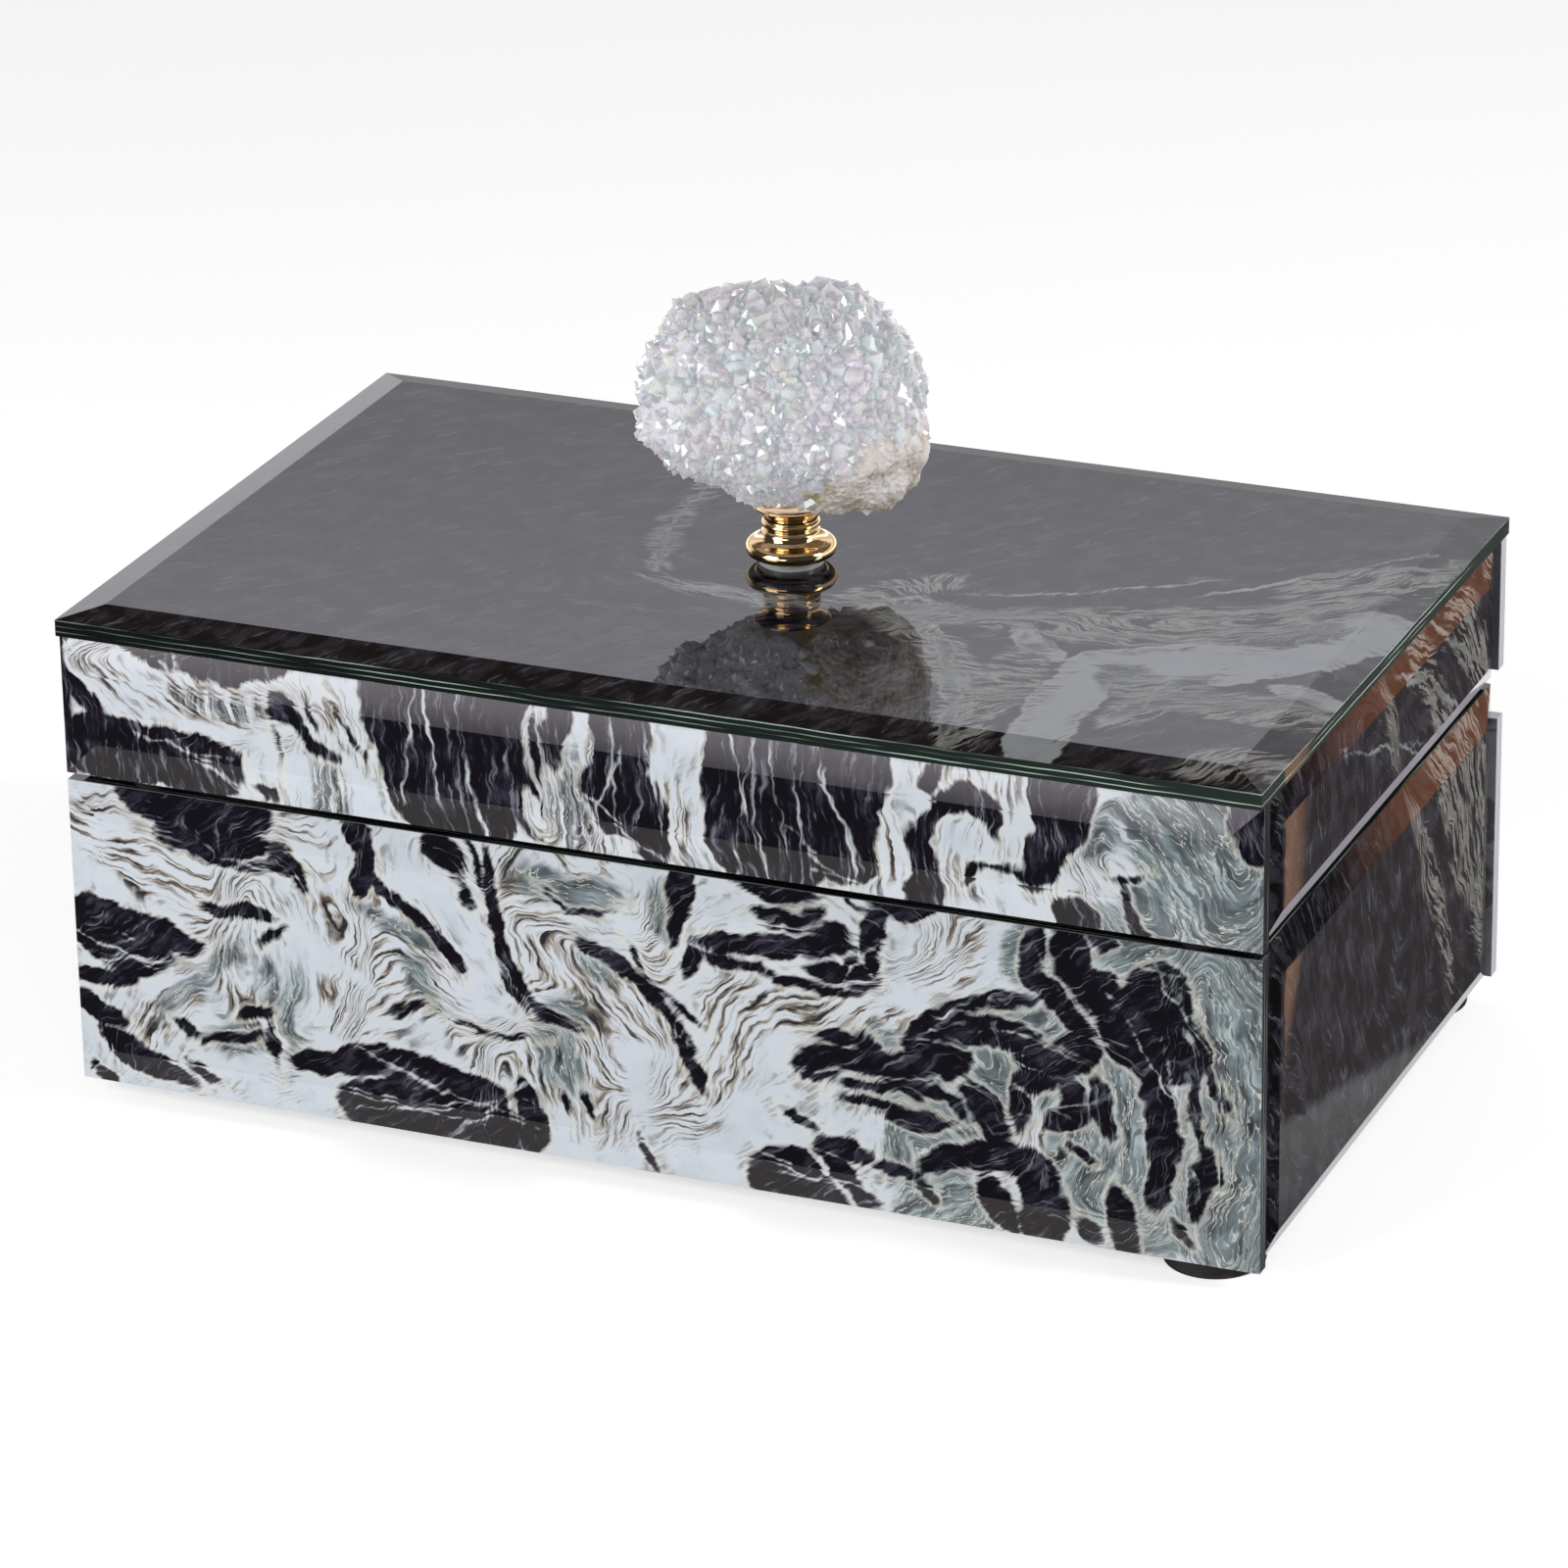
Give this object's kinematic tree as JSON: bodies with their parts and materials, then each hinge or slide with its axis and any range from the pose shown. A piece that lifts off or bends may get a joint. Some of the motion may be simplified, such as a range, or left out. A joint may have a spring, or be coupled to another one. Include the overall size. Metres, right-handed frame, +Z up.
{
  "type": "vanity trinket box",
  "caption": "Rectangular bevelled-glass trinket box with a marbled print, a rear-hinged lid, velvet lining and a quartz cluster knob on a turned finial.",
  "frame": {"origin": "on the table, in the middle of the box's footprint, level with the underside of the feet", "axes": "+X along the long side to the right as seen from the front, +Y from the front to the hinged back, +Z up"},
  "size_m": [0.25, 0.152, 0.1634],
  "materials": {
    "marbled_glass": "clear bevelled glass, black and white marbled print behind it, polished",
    "black_board": "fibreboard painted matt black",
    "velvet": "black velvet over card or wadding",
    "felt": "black felt",
    "foot_rubber": "matt dark rubber",
    "clear_polymer": "translucent, soft",
    "hinge_brass": "satin brass",
    "screw_brass": "brass plated",
    "screw_steel": "zinc plated",
    "polished_gold": "polished gold plating",
    "quartz": "raw druzy quartz with a faint rainbow vapour coating"
  },
  "bodies": {
    "root": {"glass_body_front": "marbled_glass", "glass_body_back": "marbled_glass", "glass_body_left": "marbled_glass", "glass_body_right": "marbled_glass", "carcass_front_board": "black_board", "carcass_back_board": "black_board", "carcass_left_board": "black_board", "carcass_right_board": "black_board", "carcass_base_board": "black_board", "lining_body_front": "velvet", "lining_body_back": "velvet", "lining_body_left": "velvet", "lining_body_right": "velvet", "lining_floor_pad": "velvet", "base_felt": "felt", "foot_front_left": "foot_rubber", "foot_front_right": "foot_rubber", "foot_rear_left": "foot_rubber", "foot_rear_right": "foot_rubber", "lid_bumpers": "clear_polymer", "hinge_left_body_leaf": "hinge_brass", "hinge_right_body_leaf": "hinge_brass", "hinge_left_pin": "hinge_brass", "hinge_right_pin": "hinge_brass", "hinge_screws_body": "screw_brass"},
    "lid": {"glass_lid_top": "marbled_glass", "glass_lid_front": "marbled_glass", "glass_lid_back": "marbled_glass", "glass_lid_left": "marbled_glass", "glass_lid_right": "marbled_glass", "lid_front_board": "black_board", "lid_back_board": "black_board", "lid_left_board": "black_board", "lid_right_board": "black_board", "lid_top_board": "black_board", "lining_lid_front": "velvet", "lining_lid_back": "velvet", "lining_lid_left": "velvet", "lining_lid_right": "velvet", "lining_lid_pad": "velvet", "knob_cushion_washer": "clear_polymer", "hinge_left_lid_leaf": "hinge_brass", "hinge_right_lid_leaf": "hinge_brass", "hinge_screws_lid": "screw_brass", "knob_screw": "screw_steel", "knob_screw_washer": "screw_steel", "knob_finial": "polished_gold", "knob_crystal": "quartz"}
  },
  "joints": [
    {"name": "lid_hinge", "type": "hinge", "parent": "root", "child": "lid", "pos_m": [0, 0.0733, 0.06975], "axis": [-1, 0, 0], "range_deg": [0, 95]}
  ]
}
